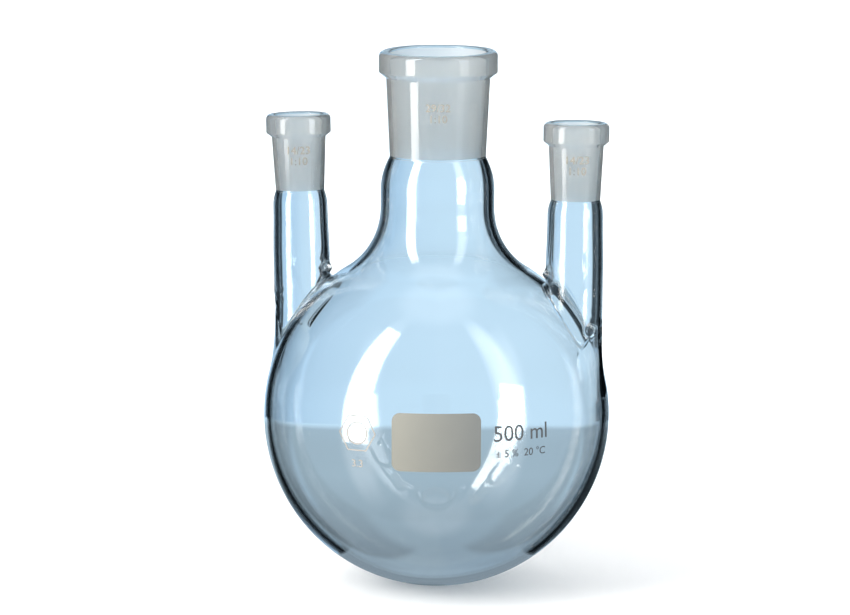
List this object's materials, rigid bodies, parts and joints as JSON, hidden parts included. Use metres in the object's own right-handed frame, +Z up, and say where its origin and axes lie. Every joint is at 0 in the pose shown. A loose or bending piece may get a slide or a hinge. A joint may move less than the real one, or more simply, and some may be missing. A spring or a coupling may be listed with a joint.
{
  "type": "three-neck round-bottom flask",
  "caption": "Round-bottom glass reaction flask with a wide centre neck and parallel narrower side necks, each ending in a ground conical socket.",
  "frame": {"origin": "lowest point of the round bulb, on the axis of the centre neck", "axes": "+Z up along the centre neck; +X from the centre neck towards the right side neck; the enamel marks are on the -Y side"},
  "size_m": [0.1064, 0.1051, 0.1625],
  "materials": {
    "clear_glass": "clear, fire polished",
    "ground_glass": "inner cone ground to a fine matt",
    "field_enamel": "fired matt enamel",
    "mark_enamel": "fired grey enamel",
    "emblem_enamel": "fired pale enamel"
  },
  "bodies": {
    "root": {"bulb": "clear_glass", "centre_neck": "clear_glass", "left_neck": "clear_glass", "right_neck": "clear_glass", "centre_socket": "ground_glass", "left_socket": "ground_glass", "right_socket": "ground_glass", "writing_field": "field_enamel", "capacity_mark": "mark_enamel", "volume_note": "mark_enamel", "emblem": "emblem_enamel", "grade_mark": "emblem_enamel", "centre_joint_mark": "mark_enamel", "left_joint_mark": "mark_enamel", "right_joint_mark": "mark_enamel"}
  },
  "joints": []
}
